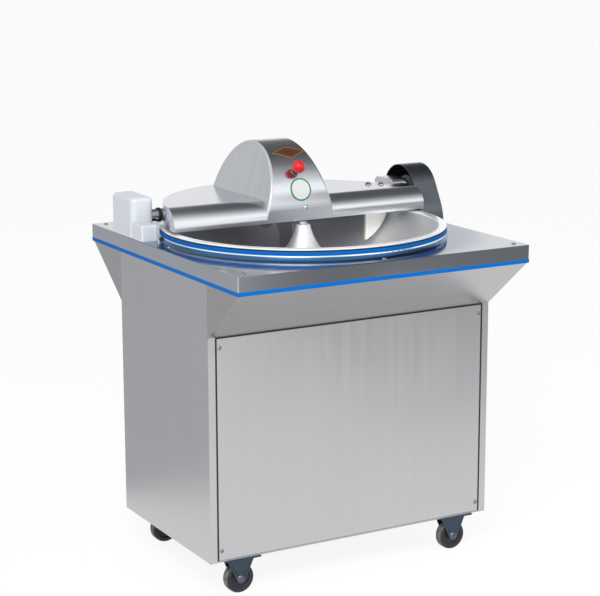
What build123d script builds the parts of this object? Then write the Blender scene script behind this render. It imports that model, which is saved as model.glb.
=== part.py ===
from build123d import *
import os
from math import cos, radians, sin

# A floor-standing meat bowl cutter. A stainless cabinet on casters carries a flared table. A ring-shaped
# bowl turns slowly in the table, and knives on a level shaft cut the meat under a hinged hood.
# Millimetres. +X is right, +Y is back, +Z is up, and the front faces -Y.

# Main sizes
bowl_radius = 315
table_height = 717
cabinet_depth = 427

# Table and cabinet
table_side = 35
table_front = 44
table_sheet = 2
apron_height = 39
trim_height = 8.5
panel_inset = 3
panel_sheet = 1.5
cabinet_y = -4.5
flare_rise = 111
corner_face = 17
panel_gap = 2.5
floor_sheet = 3
tube = 30
seam = 0.4
screw_radius = 5
screw_inset = 24
panel_screw_x = 7
panel_screw_z = 40
gland_inset = 97
gland_rise = 68
gland_radius = 10
gland_neck = 8
gland_bore = 5
gland_length = 24

# Casters
wheel_radius = 32.5
wheel_width = 22
wheel_gap = 0.8
wheel_room = 17
wheel_dish = 3
hub_wall = 6.5
tyre_depth = 10
tread_round = 3.5
caster_inset = 77
caster_front = 25
caster_back = 37
caster_plate = 3
fork_sheet = 3
fork_top_length = 62
fork_plate_length = 84
fork_plate_width = 56
axle_radius = 5
axle_head = 9

# Bowl: a ring trough round a central cone
bowl_lip = 19
bowl_wall = 3
rim_rise = 24
rim_height = 4
cone_drop = 3
bowl_gap = 5
collar_width = 5
collar_height = 10
collar_trim_height = 8
collar_trim_inset = 2
spindle_radius = 15
spindle_neck = 11
spindle_flange = 8
bowl_bolt_radius = 5
bowl_bolt_head = 9

# Knife shaft, along X
knife_rise = 51
knife_count = 3
knife_sheet = 3
knife_pitch = 18.5
knife_gap = 4
knife_hub = 30
knife_root_radius = 26
knife_spacer = 24
knife_seat = 12
knife_bevel = 9
knife_edge = 0.6
shoulder_width = 10
nut_width = 14
journal_radius = 10
neck_radius = 14
sleeve_start = 110
sleeve_radius = 20
bearing_radius = 16
bearing_width = 12
block_gap = 3
block_inset = 6
block_depth = 84
block_rise = 83
block_round = 14
pulley_gap = 19
pulley_width = 24
knife_pulley_radius = 34

# Hood: a half disc with rounded wings and an arch over the knives
hood_sheet = 1.5
hood_inset = 7
hood_gap = 4
wing_height = 48
wing_round = 42
wing_overhang = 10
tongue_depth = 92
open_end = 148
arch_gap = 7
arch_rise = 55
arch_base = 91
arch_crown = 44
arch_round = 6
knob_radius = 14.5
knob_angle = 35
knob_reach = 20
knob_stem = 4

# Hood hinge, at the left edge of the table
hinge_inset = 34
hinge_rise = 42
arm_offset = 15
arm_radius = 13.5
barrel_radius = 15
barrel_length = 33
pin_radius = 7
lug_sheet = 7
lug_radius = 12
bracket_base = 4
cover_width = 53
cover_before = 29
cover_behind = 82
cover_height = 88
cover_wall = 2.5
cover_round = 13
cover_crown = 10
step_length = 50
step_width = 38
step_height = 35
step_round = 4
cam_radius = 12
cam_width = 6
switch_length = 42
switch_height = 22
plunger_radius = 2.5

# Scraper, a nylon plough that follows the bowl's wall
scraper_offset = 65
scraper_sheet = 8
scraper_gap = 7
scraper_depth = 72
bracket_sheet = 3
bracket_inset = 20
bolt_radius = 3
bolt_head = 6
bolt_head_height = 4
bolt_tail = 5

# Drive
motor_back = 109
motor_rise = 148
motor_radius = 72
motor_start = -50
motor_inset = 127
motor_bed_height = 90
motor_rib = 6
rib_sheet = 3
rib_count = 20
terminal_depth = 70
terminal_height = 40
terminal_length = 90
bench_sheet = 5
motor_shaft_radius = 12
motor_pulley_radius = 60
worm_drive_radius = 30
worm_pulley_radius = 50
worm_pulley_x = -130
worm_y = -60
worm_drop = 65.5
worm_radius = 14.5
worm_wheel_radius = 45
worm_wheel_width = 24
belt_width = 10
belt_depth = 8
groove_slack = 0.5
guard_width = 60
guard_sheet = 1.5
guard_radius = 69
guard_drop = 8
guard_skirt_radius = 98
guard_skirt_drop = 68
guard_low_radius = 90

# Gearbox
gearbox_gap = 1
gearbox_front = -100
gearbox_back = 75
gearbox_height = 116
gearbox_wall = 8
gearbox_flange = 12
gearbox_hub = 38
gearbox_hub_height = 22
spindle_bearing_radius = 26

# Clearances
running_fit = 0.04
bolt_fit = 0.2
hole_fit = 0.4

# Table and cabinet places, worked out from the sizes above
half_width = bowl_radius + table_side
half_depth = bowl_radius + table_front
table_width = 2 * half_width
table_depth = 2 * half_depth
mid_x = (panel_inset - guard_width) / 2
side_x = half_width - panel_inset
cabinet_front = cabinet_y - cabinet_depth / 2
cabinet_back = cabinet_y + cabinet_depth / 2
apron_bottom = table_height - apron_height
trim_top = apron_bottom + trim_height
flare_bottom = apron_bottom - flare_rise
inner_x = side_x - panel_sheet
inner_front = cabinet_front + panel_sheet
inner_back = cabinet_back - panel_sheet
caster_height = 2 * wheel_radius + wheel_room
caster_x = side_x - caster_inset
floor_top = caster_height + floor_sheet
frame_top = table_height - table_sheet
rail_top = flare_bottom - panel_sheet
rail_bottom = rail_top - tube
gland_x = gland_inset - side_x
gland_z = caster_height + gland_rise

# Bowl and knife places: the knives sweep the trough's own circle
trough_circle = bowl_radius * 0.47
trough_radius = bowl_radius * 0.432
knife_y = bowl_radius * 10 / 21
knife_z = table_height + knife_rise
knife_radius = trough_radius - knife_gap
trough_bottom = knife_z - trough_radius
rim_top = table_height + rim_rise
cone_top = rim_top - cone_drop
bowl_inner = bowl_radius - bowl_lip
table_hole = bowl_inner + bowl_wall + bowl_gap
collar_base = bowl_radius + collar_width
block_start = (collar_base**2 - (knife_y - block_depth / 2) ** 2) ** 0.5 + block_gap
block_end = half_width - block_inset
pulley_start = side_x + pulley_gap
shaft_end = pulley_start + pulley_width + shoulder_width / 2

# Hood and hinge places
hood_radius = bowl_radius - hood_inset
hood_bottom = rim_top + hood_gap
hood_top = hood_bottom + wing_height
wing_reach = bowl_radius + wing_overhang
arch_radius = knife_radius + arch_gap
arch_z = table_height + arch_rise
hood_front = knife_y - arch_radius
arm_y = knife_y + arm_offset
hinge_x = hinge_inset - half_width
hinge_z = table_height + hinge_rise
cover_front = arm_y - cover_before
cover_back = arm_y + cover_behind
step_front = cover_front - step_length
scraper_y = knife_y - scraper_offset
scraper_inner = bowl_radius * 0.68
bracket_start = scraper_inner + bracket_inset
bracket_width = bowl_radius * 0.14

# Drive places
motor_y = cabinet_back - motor_back
motor_z = caster_height + motor_rise
motor_end = side_x - motor_inset
motor_bench = motor_z - motor_bed_height
worm_z = rail_top - worm_drop
gearbox_bottom = rail_top - gearbox_height
gearbox_width = 2 * (worm_wheel_radius + gearbox_wall + gearbox_gap)
guard_start = side_x
guard_z = knife_z - guard_drop
guard_skirt_z = knife_z - guard_skirt_drop

on_base = (Align.CENTER, Align.CENTER, Align.MIN)
on_top = (Align.CENTER, Align.CENTER, Align.MAX)
bowl_axis = Axis((mid_x, 0, 0), (0, 0, 1))


def level(z):
    """Level plane at height z, centred on the cabinet."""
    return Plane(origin=(mid_x, 0, z))


def side(x):
    """Upright plane across X: its own axes are Y and Z, and it faces right."""
    return Plane(origin=(mid_x + x, 0, 0), x_dir=(0, 1, 0), z_dir=(1, 0, 0))


def front(y):
    """Upright plane across Y: its own axes are X and Z, and it faces the front."""
    return Plane(origin=(mid_x, y, 0), x_dir=(1, 0, 0), z_dir=(0, -1, 0))


def save(piece, name):
    """Labels a finished piece and writes its file."""
    piece.part.label = name
    export_step(piece.part, f"parts/{name}.step")


os.makedirs("parts", exist_ok=True)

# Cabinet frame: square tubes, four posts with rails at the floor, the gearbox and the table
with BuildPart(level(0)) as cabinet_frame:
    post_x = inner_x - tube / 2
    post_y = ((inner_front + tube / 2), (inner_back - tube / 2))
    with Locations(*[(x, y, floor_top) for x in (-post_x, post_x) for y in post_y]):
        Box(tube, tube, frame_top - floor_top, align=on_base)
    with Locations(*[(0, y, z) for y in post_y for z in (floor_top, rail_bottom)]):
        Box(2 * inner_x, tube, tube, align=on_base)
    with Locations(*[(x, cabinet_y, floor_top) for x in (-post_x, post_x)]):
        Box(tube, inner_back - inner_front, tube, align=on_base)
    with Locations((-post_x, 0, frame_top), (post_x, 0, frame_top)):
        Box(tube, table_depth - 4 * tube / 3, tube, align=on_top)
save(cabinet_frame, "cabinet_frame")

# Gearbox rails between the front and back cross tubes
with BuildPart(level(rail_bottom)) as gearbox_rails:
    rail_span = inner_back - inner_front - 2 * tube
    rail_x = (gearbox_width + tube) / 2 + seam
    with Locations((-rail_x, cabinet_y), (rail_x, cabinet_y)):
        Box(tube, rail_span, tube, align=on_base)
save(gearbox_rails, "gearbox_rails")

# Floor plate that carries the casters and the motor
with BuildPart(level(caster_height)) as base_plate:
    with Locations((0, cabinet_y)):
        Box(2 * inner_x, inner_back - inner_front, floor_sheet, align=on_base)
save(base_plate, "base_plate")


def side_panel(hand):
    """Side panel with folded front and back returns: hand is -1 for the left, 1 for the right."""
    with BuildPart(level(caster_height)) as panel:
        with Locations((hand * (side_x - panel_sheet / 2), cabinet_y)):
            Box(panel_sheet, cabinet_depth, trim_top - caster_height, align=on_base)
        return_x = hand * (side_x - corner_face / 2)
        return_y = (cabinet_front + panel_sheet / 2, cabinet_back - panel_sheet / 2)
        with Locations(*[(return_x, y) for y in return_y]):
            Box(corner_face, panel_sheet, rail_top - caster_height, align=on_base)
        if hand > 0:
            with BuildSketch(side(side_x)):
                with Locations((motor_y, motor_z)):
                    Circle(motor_shaft_radius + bowl_gap)
            extrude(amount=-2 * panel_sheet, mode=Mode.SUBTRACT)
    return panel


save(side_panel(-1), "side_panel_left")
save(side_panel(1), "side_panel_right")

# Front panel, a flat sheet screwed to the posts
panel_half = side_x - corner_face - panel_gap
panel_low = caster_height + 2 * panel_gap
panel_high = rail_top - panel_gap
with BuildPart(front(cabinet_front)) as front_panel:
    with BuildSketch(front(cabinet_front)):
        with Locations((0, (panel_low + panel_high) / 2)):
            Rectangle(2 * panel_half, panel_high - panel_low)
    extrude(amount=-panel_sheet)
save(front_panel, "front_panel")

# Back panel with the hole of the cable gland
with BuildPart(front(cabinet_back)) as rear_panel:
    with BuildSketch(front(cabinet_back)):
        with Locations((0, (panel_low + panel_high) / 2)):
            Rectangle(2 * panel_half, panel_high - panel_low)
        with Locations((gland_x, gland_z)):
            Circle(gland_neck + bolt_fit, mode=Mode.SUBTRACT)
    extrude(amount=panel_sheet)
save(rear_panel, "rear_panel")

# Cable gland: a hexagon outside the back panel, with a threaded neck through it
with BuildPart(front(cabinet_back)) as cable_gland:
    with BuildSketch(front(cabinet_back)):
        with Locations((gland_x, gland_z)):
            RegularPolygon(gland_radius * 1.2, 6)
    extrude(amount=-gland_length / 3)
    with BuildSketch(front(cabinet_back + gland_length / 3)):
        with Locations((gland_x, gland_z)):
            Circle(gland_radius)
    extrude(amount=-gland_length / 3, taper=12)
    with BuildSketch(front(cabinet_back)):
        with Locations((gland_x, gland_z)):
            Circle(gland_neck)
    extrude(amount=gland_length / 3)
    with BuildSketch(front(cabinet_back + gland_length)):
        with Locations((gland_x, gland_z)):
            Circle(gland_bore)
    extrude(amount=2 * gland_length, mode=Mode.SUBTRACT)
save(cable_gland, "cable_gland")


def flare(hand):
    """Flared skirt from the table's edge to the cabinet: hand is -1 for the front, 1 for the back."""
    edge_y = hand * (half_depth - panel_inset)
    body_y = cabinet_front if hand < 0 else cabinet_back
    inner_y = edge_y - hand * panel_sheet
    slope_sheet = 1.3 * panel_sheet
    lap = tube / 2
    with BuildPart() as skirt:
        with BuildSketch(side(-side_x)):
            with BuildLine():
                Polyline(
                    (edge_y, trim_top),
                    (edge_y, apron_bottom),
                    (body_y, rail_top),
                    (body_y, rail_top + slope_sheet),
                    (inner_y, apron_bottom + panel_sheet / 2),
                    (inner_y, trim_top),
                    close=True,
                )
            make_face()
        extrude(amount=2 * side_x)
        for cheek_x in (-side_x, side_x - panel_sheet):
            with BuildSketch(side(cheek_x)):
                with BuildLine():
                    Polyline(
                        (edge_y, trim_top),
                        (edge_y, apron_bottom),
                        (body_y + hand * seam, rail_top + seam),
                        (body_y + hand * seam, trim_top),
                        close=True,
                    )
                make_face()
            extrude(amount=panel_sheet)
        with BuildSketch(level(rail_top)):
            with Locations((0, body_y - hand * lap / 2)):
                Rectangle(2 * (inner_x - tube - seam), lap)
        extrude(amount=panel_sheet)
    return skirt


save(flare(-1), "front_flare")
save(flare(1), "rear_flare")

# Table top: a folded pan with the hole for the bowl
with BuildPart(level(table_height)) as table_top:
    skirt_height = apron_height - trim_height
    Box(table_width, table_depth, skirt_height, align=on_top)
    fillet(table_top.edges().filter_by(Axis.Z), table_sheet)
    with Locations((0, 0, -table_sheet)):
        Box(table_width - 2 * table_sheet, table_depth - 2 * table_sheet, skirt_height,
            align=on_top, mode=Mode.SUBTRACT)
    Cylinder(table_hole, 2 * table_sheet, mode=Mode.SUBTRACT)
save(table_top, "table_top")

# Blue trim strip under the apron, all round
with BuildPart(level(apron_bottom)) as apron_trim:
    Box(table_width, table_depth, trim_height, align=on_base)
    Box(table_width - 2 * panel_inset, table_depth - 2 * panel_inset, trim_height,
        align=on_base, mode=Mode.SUBTRACT)
save(apron_trim, "apron_trim")

# Collar round the bowl: a raised ring on the table with a hollow flank
collar_top = table_height + collar_height
with BuildPart() as bowl_collar:
    with BuildSketch(front(0)):
        with BuildLine():
            foot = (collar_base, table_height)
            brow = (bowl_radius, collar_top)
            Line((table_hole, table_height), foot)
            RadiusArc(foot, brow, collar_height * 1.4)
            Polyline(brow, (table_hole, collar_top), (table_hole, table_height))
        make_face()
    revolve(axis=bowl_axis)
save(bowl_collar, "bowl_collar")

# Blue ring on the collar
with BuildPart() as collar_trim:
    with BuildSketch(level(collar_top)):
        Circle(bowl_radius + collar_trim_inset / 2)
        Circle(table_hole + collar_trim_inset, mode=Mode.SUBTRACT)
    extrude(amount=collar_trim_height)
    fillet(collar_trim.faces().sort_by(Axis.Z)[-1].edges(), collar_trim_inset)
save(collar_trim, "collar_trim")

# Screw heads round the table's edge and at the corners of the front and back panels
screw_x = half_width - screw_inset
screw_y = half_depth - screw_inset
screw_places = [(x, y) for x in (-screw_x, 0, screw_x) for y in (-screw_y, 0, screw_y) if (x, y) != (0, 0)]
with BuildPart() as cabinet_screws:
    with BuildSketch(level(table_height)):
        with Locations(*screw_places):
            Circle(screw_radius)
    extrude(amount=screw_radius / 2)
    for face_y, out in ((cabinet_front, 1), (cabinet_back, -1)):
        with BuildSketch(front(face_y)):
            with Locations((0, (panel_low + panel_high) / 2)):
                with GridLocations(2 * (panel_half - panel_screw_x), panel_high - panel_low - panel_screw_z, 2, 2):
                    Circle(screw_radius)
        extrude(amount=out * screw_radius / 2)
save(cabinet_screws, "cabinet_screws")

# Casters: plate, forked legs, axle bolt and wheel
leg_gap = wheel_width / 2 + wheel_gap
leg_out = leg_gap + fork_sheet
caster_places = {
    "front_left": (-caster_x, cabinet_front + caster_front),
    "front_right": (caster_x, cabinet_front + caster_front),
    "rear_left": (-caster_x, cabinet_back - caster_back),
    "rear_right": (caster_x, cabinet_back - caster_back),
}
plate_bottom = caster_height - caster_plate
for place, (wheel_x, wheel_y) in caster_places.items():
    with BuildPart(level(caster_height)) as fork:
        with Locations((wheel_x, wheel_y)):
            Box(fork_plate_length, fork_plate_width, caster_plate, align=on_top)
        for leg_y in (wheel_y - leg_gap, wheel_y + leg_out):
            with BuildSketch(front(leg_y)):
                with Locations((wheel_x, wheel_radius)):
                    Circle(axle_head + 2)
                with Locations((wheel_x, plate_bottom)):
                    Rectangle(fork_top_length, caster_plate, align=(Align.CENTER, Align.MAX))
                make_hull()
                with Locations((wheel_x, wheel_radius)):
                    Circle(axle_radius + running_fit, mode=Mode.SUBTRACT)
            extrude(amount=fork_sheet)
    save(fork, f"caster_fork_{place}")

    axle_middle = (mid_x + wheel_x, wheel_y, wheel_radius)
    with BuildPart() as wheel:
        tread = wheel_width / 2
        with BuildSketch(Plane(origin=axle_middle)):
            with BuildLine():
                Polyline(
                    (axle_radius + running_fit, 0),
                    (axle_radius + running_fit, leg_gap - running_fit),
                    (axle_radius + hub_wall, leg_gap - running_fit),
                    (axle_radius + hub_wall, tread - wheel_dish),
                    (wheel_radius - tyre_depth, tread - wheel_dish),
                    (wheel_radius - tyre_depth, tread),
                    (wheel_radius - tread_round, tread),
                    (wheel_radius, tread - tread_round),
                    (wheel_radius, 0),
                    close=True,
                )
            make_face()
            mirror(about=Plane.XZ)
        revolve(axis=Axis(axle_middle, (0, 1, 0)))
    save(wheel, f"wheel_{place}")

with BuildPart() as caster_axles:
    for wheel_x, wheel_y in caster_places.values():
        with BuildSketch(front(wheel_y - leg_out)):
            with Locations((wheel_x, wheel_radius)):
                RegularPolygon(axle_head, 6)
        extrude(amount=axle_radius)
        with BuildSketch(front(wheel_y - leg_out)):
            with Locations((wheel_x, wheel_radius)):
                Circle(axle_radius)
        extrude(amount=-2 * leg_out)
        with BuildSketch(front(wheel_y + leg_out)):
            with Locations((wheel_x, wheel_radius)):
                RegularPolygon(axle_head, 6)
        extrude(amount=-axle_radius)
save(caster_axles, "caster_axles")

# Bowl: a ring trough spun round the machine's upright axis, with a cone in the middle and a flat lip
lip_z = rim_top - rim_height
wall_rise = lip_z - trough_bottom
wall_reach = bowl_inner - trough_circle
wall_radius = (wall_rise**2 + wall_reach**2) / (2 * wall_rise)
cone_reach = (trough_radius**2 - (knife_z - cone_top) ** 2) ** 0.5
cone_neck = trough_circle - cone_reach
under_radius = trough_radius + bowl_wall
under_z = cone_top - bowl_wall
under_neck = trough_circle - (under_radius**2 - (knife_z - under_z) ** 2) ** 0.5
outer_radius = wall_radius + bowl_wall
with BuildPart() as bowl:
    with BuildSketch(front(0)):
        with BuildLine():
            inside_low = (trough_circle, trough_bottom)
            inside_rim = (bowl_inner, lip_z)
            outside_low = (trough_circle, trough_bottom - bowl_wall)
            outside_rim = (bowl_inner + bowl_wall, lip_z)
            Line((bowl_bolt_radius + bolt_fit, cone_top), (cone_neck, cone_top))
            RadiusArc((cone_neck, cone_top), inside_low, -trough_radius)
            RadiusArc(inside_low, inside_rim, -wall_radius)
            Polyline(inside_rim, (bowl_inner, rim_top), (bowl_radius - 1, rim_top),
                     (bowl_radius, rim_top - 1), (bowl_radius, lip_z), outside_rim)
            RadiusArc(outside_rim, outside_low, outer_radius)
            RadiusArc(outside_low, (under_neck, under_z), under_radius)
            Polyline((under_neck, under_z), (bowl_bolt_radius + bolt_fit, under_z),
                     (bowl_bolt_radius + bolt_fit, cone_top))
        make_face()
    revolve(axis=bowl_axis)
save(bowl, "bowl")

# Bowl spindle: stands in the gearbox and carries the bowl under the top of its cone
hub_top = rail_top + gearbox_flange + gearbox_hub_height
foot_z = gearbox_bottom + gearbox_wall / 2
foot_top = gearbox_bottom + 2 * gearbox_wall
foot_radius = spindle_radius - 3
with BuildPart() as bowl_spindle:
    with BuildSketch(front(0)):
        with BuildLine():
            Polyline(
                (0, foot_z + bolt_fit),
                (foot_radius, foot_z + bolt_fit),
                (foot_radius, foot_top + bolt_fit),
                (spindle_radius, foot_top + bolt_fit),
                (spindle_radius, hub_top + bolt_fit),
                (spindle_radius + spindle_flange, hub_top + bolt_fit),
                (spindle_radius + spindle_flange, hub_top + spindle_flange),
                (spindle_neck, hub_top + 2 * spindle_flange),
                (spindle_neck, under_z),
                (0, under_z),
                close=True,
            )
        make_face()
    revolve(axis=bowl_axis)
    with BuildSketch(level(under_z)):
        Circle(bowl_bolt_radius + running_fit)
    extrude(amount=-6 * bowl_bolt_radius, mode=Mode.SUBTRACT)
save(bowl_spindle, "bowl_spindle")

# Bolt that holds the bowl down on its spindle
with BuildPart(level(cone_top)) as bowl_bolt:
    cap_height = bowl_bolt_head * 2 / 3
    Cylinder(bowl_bolt_head, cap_height, align=on_base)
    fillet(bowl_bolt.edges().group_by(Axis.Z)[-1], cap_height / 2)
    Cylinder(bowl_bolt_radius, bowl_wall + 5 * bowl_bolt_radius, align=on_top)
save(bowl_bolt, "bowl_bolt")

# Gearbox: a closed case hung from its flange, with the hub of the bowl's spindle on top
gearbox_depth = gearbox_back - gearbox_front
gearbox_y = (gearbox_back + gearbox_front) / 2
with BuildPart(level(gearbox_bottom)) as gearbox_case:
    with Locations((0, gearbox_y)):
        Box(gearbox_width, gearbox_depth, gearbox_height, align=on_base)
    fillet(gearbox_case.edges().filter_by(Axis.Z), gearbox_wall)
    with Locations((0, gearbox_y, gearbox_height)):
        Box(gearbox_width + 2 * tube, gearbox_depth, gearbox_flange, align=on_base)
    with Locations((0, 0, gearbox_height + gearbox_flange)):
        Cylinder(gearbox_hub, gearbox_hub_height, align=on_base)
    with Locations((0, gearbox_y, 2 * gearbox_wall)):
        Box(gearbox_width - 2 * gearbox_wall, gearbox_depth - 2 * gearbox_wall,
            gearbox_height - 2 * gearbox_wall, align=on_base, mode=Mode.SUBTRACT)
    with Locations((0, 0, gearbox_height)):
        Cylinder(spindle_radius + hole_fit, gearbox_flange + gearbox_hub_height, align=on_base,
                 mode=Mode.SUBTRACT)
    with Locations((0, 0, hub_top - gearbox_bottom)):
        Cylinder(spindle_bearing_radius + running_fit, bearing_width, align=on_top, mode=Mode.SUBTRACT)
    with Locations((0, 0, gearbox_wall / 2)):
        Cylinder(foot_radius + running_fit, 2 * gearbox_wall, align=on_base, mode=Mode.SUBTRACT)
    with BuildSketch(side(-gearbox_width / 2)):
        with Locations((worm_y, worm_z)):
            Circle(journal_radius + running_fit)
    extrude(amount=gearbox_width - gearbox_wall / 2, mode=Mode.SUBTRACT)
save(gearbox_case, "gearbox_case")

# Ball bearing of the bowl's spindle
with BuildPart(level(hub_top)) as spindle_bearing:
    Cylinder(spindle_bearing_radius, bearing_width, align=on_top)
    Cylinder(spindle_radius + running_fit, bearing_width, align=on_top, mode=Mode.SUBTRACT)
save(spindle_bearing, "spindle_bearing")

# Worm wheel on the spindle
with BuildPart(level(worm_z)) as worm_wheel:
    Cylinder(worm_wheel_radius, worm_wheel_width)
    Cylinder(spindle_radius + running_fit, worm_wheel_width, mode=Mode.SUBTRACT)
    chamfer(worm_wheel.edges().filter_by(GeomType.CIRCLE).group_by(SortBy.RADIUS)[-1], 2)
save(worm_wheel, "worm_wheel")

# Worm shaft across the case, in front of the wheel
worm_end = gearbox_width / 2 - gearbox_wall / 2 - bolt_fit
with BuildPart(side(worm_pulley_x)) as worm_shaft:
    with Locations((worm_y, worm_z, 0)):
        Cylinder(journal_radius, worm_end - worm_pulley_x, align=on_base)
    with Locations((worm_y, worm_z, -worm_pulley_x)):
        Cylinder(worm_radius, gearbox_width - 3 * gearbox_wall)
save(worm_shaft, "worm_shaft")


def pulley(plane, y, z, radius, bore):
    """Grooved pulley on an X shaft: the belt's outside lies level with the rim."""
    with BuildPart(plane) as wheel:
        with Locations((y, z)):
            Cylinder(radius, pulley_width, align=on_base)
        groove_low = radius - belt_depth - groove_slack
        with BuildSketch(Plane(origin=plane.origin + Vector(0, y, z), x_dir=(1, 0, 0), z_dir=(0, -1, 0))):
            mouth = belt_width / 2 + 4 * groove_slack
            floor = belt_width / 2 + groove_slack
            with BuildLine():
                Polyline(
                    (pulley_width / 2 - mouth, radius + groove_slack),
                    (pulley_width / 2 - floor, groove_low),
                    (pulley_width / 2 + floor, groove_low),
                    (pulley_width / 2 + mouth, radius + groove_slack),
                    close=True,
                )
            make_face()
        revolve(axis=Axis(plane.origin + Vector(0, y, z), (1, 0, 0)), mode=Mode.SUBTRACT)
        with Locations((y, z)):
            Cylinder(bore + running_fit, pulley_width, align=on_base, mode=Mode.SUBTRACT)
    return wheel


def belt(x, wheel_a, wheel_b):
    """Belt loop round two pulleys, each given as Y, Z and rim radius, from x to the right."""
    with BuildPart() as loop:
        with BuildSketch(side(x + (pulley_width - belt_width) / 2)):
            for y, z, radius in (wheel_a, wheel_b):
                with Locations((y, z)):
                    Circle(radius)
            make_hull()
            with BuildSketch(mode=Mode.SUBTRACT):
                for y, z, radius in (wheel_a, wheel_b):
                    with Locations((y, z)):
                        Circle(radius - belt_depth)
                make_hull()
        extrude(amount=belt_width)
    return loop


motor_rim = (motor_y, motor_z, motor_pulley_radius)
knife_rim = (knife_y, knife_z, knife_pulley_radius)
drive_rim = (motor_y, motor_z, worm_drive_radius)
worm_rim = (worm_y, worm_z, worm_pulley_radius)
save(pulley(side(worm_pulley_x), *worm_rim, journal_radius), "worm_pulley")
save(pulley(side(worm_pulley_x), *drive_rim, motor_shaft_radius), "worm_drive_pulley")
save(pulley(side(pulley_start), *motor_rim, motor_shaft_radius), "motor_pulley")
save(pulley(side(pulley_start), *knife_rim, journal_radius), "knife_pulley")
save(belt(worm_pulley_x, drive_rim, worm_rim), "worm_belt")
save(belt(pulley_start, motor_rim, knife_rim), "knife_belt")

# Motor: ribbed body on a foot, with a terminal box on top
motor_length = motor_end - motor_start
with BuildPart(side(motor_start)) as motor:
    with Locations((motor_y, motor_z)):
        Cylinder(motor_radius - motor_rib, motor_length, align=on_base)
        Cylinder(motor_radius, motor_length / 8, align=on_base)
    with Locations((motor_y, motor_z, motor_length)):
        Cylinder(motor_radius, motor_length / 8, align=on_top)
    with BuildSketch(side(motor_start)):
        with Locations((motor_y, motor_z)):
            with PolarLocations(motor_radius - motor_rib, rib_count):
                Rectangle(2 * motor_rib - rib_sheet / 2, rib_sheet)
    extrude(amount=motor_length)
    with Locations((motor_y, motor_bench, motor_length / 2)):
        Box(2 * motor_radius, motor_bed_height / 2, motor_length / 2, align=(Align.CENTER, Align.MIN, Align.CENTER))
    with Locations((motor_y, motor_z + motor_radius - motor_rib - rib_sheet, motor_length / 2)):
        Box(terminal_depth, terminal_height, terminal_length, align=(Align.CENTER, Align.MIN, Align.CENTER))
    with Locations((motor_y, motor_z)):
        Cylinder(motor_shaft_radius + running_fit, motor_length, align=on_base, mode=Mode.SUBTRACT)
save(motor, "motor")

# Motor bench: a folded channel on the floor plate
with BuildPart(level(floor_top)) as motor_bench_plate:
    bench_x = (motor_start + motor_end) / 2
    bench_length = motor_length * 0.6
    bench_depth = 2 * motor_radius + bench_sheet
    with Locations((bench_x, motor_y)):
        Box(bench_length, bench_depth, motor_bench - floor_top, align=on_base)
        Box(bench_length - 2 * bench_sheet, bench_depth, motor_bench - floor_top - bench_sheet,
            align=on_base, mode=Mode.SUBTRACT)
save(motor_bench_plate, "motor_bench")

# Motor shaft, with a pulley at each end
with BuildPart(side(worm_pulley_x)) as motor_shaft:
    with Locations((motor_y, motor_z)):
        Cylinder(motor_shaft_radius, shaft_end - worm_pulley_x, align=on_base)
save(motor_shaft, "motor_shaft")

# Knife shaft: knives against a shoulder, then a long neck into the bearings, and the pulley's end
stack_start = -(knife_count - 1) * knife_pitch / 2 - knife_sheet / 2
stack_end = -stack_start
with BuildPart(side(stack_start - nut_width)) as knife_shaft:
    with Locations((knife_y, knife_z)):
        Cylinder(journal_radius, shaft_end - stack_start + nut_width, align=on_base)
    with Locations((knife_y, knife_z, nut_width)):
        Cylinder(knife_seat, stack_end - stack_start, align=on_base)
    with Locations((knife_y, knife_z, nut_width + stack_end - stack_start)):
        Cylinder(knife_spacer, shoulder_width, align=on_base)
        Cylinder(neck_radius, sleeve_start - seam - stack_end, align=on_base)
save(knife_shaft, "knife_shaft")


def polar(radius, angle):
    """Point at a radius and angle round the knife shaft, in Y and Z."""
    return (knife_y + radius * cos(radians(angle)), knife_z + radius * sin(radians(angle)))


# Knives: sickle blades on round hubs, set evenly round the shaft
for number in range(knife_count):
    turn = 90 + number * 360 / knife_count
    blade_x = stack_start + number * knife_pitch
    with BuildPart() as knife:
        with BuildSketch(side(blade_x)):
            with BuildLine():
                ThreePointArc(polar(knife_root_radius, turn - 55), polar(knife_radius * 0.7, turn - 20),
                              polar(knife_radius, turn + 28))
                ThreePointArc(polar(knife_radius, turn + 28), polar(knife_radius, turn + 36),
                              polar(knife_radius, turn + 44))
                ThreePointArc(polar(knife_radius, turn + 44), polar(knife_radius * 0.7, turn + 30),
                              polar(knife_root_radius, turn + 48))
                Line(polar(knife_root_radius, turn + 48), polar(knife_root_radius, turn - 55))
            make_face()
            with Locations((knife_y, knife_z)):
                Circle(knife_hub)
                Circle(knife_seat + running_fit, mode=Mode.SUBTRACT)
        extrude(amount=knife_sheet)
        blade_face = knife.faces().sort_by(Axis.X)[-1]
        cutting_edge = blade_face.edges().sort_by(SortBy.LENGTH)[-1]
        chamfer(cutting_edge, knife_bevel, knife_sheet - knife_edge, reference=blade_face)
    save(knife, f"knife_{number + 1}")

# Spacers between the knives
with BuildPart() as knife_spacers:
    for number in range(knife_count - 1):
        with BuildSketch(side(stack_start + number * knife_pitch + knife_sheet)):
            with Locations((knife_y, knife_z)):
                Circle(knife_spacer)
                Circle(knife_seat + running_fit, mode=Mode.SUBTRACT)
        extrude(amount=knife_pitch - knife_sheet)
save(knife_spacers, "knife_spacers")

# Nut that clamps the knives
with BuildPart() as knife_nut:
    with BuildSketch(side(stack_start)):
        with Locations((knife_y, knife_z)):
            RegularPolygon(journal_radius * 2, 6)
            Circle(journal_radius + running_fit, mode=Mode.SUBTRACT)
    extrude(amount=-nut_width)
save(knife_nut, "knife_nut")

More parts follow.
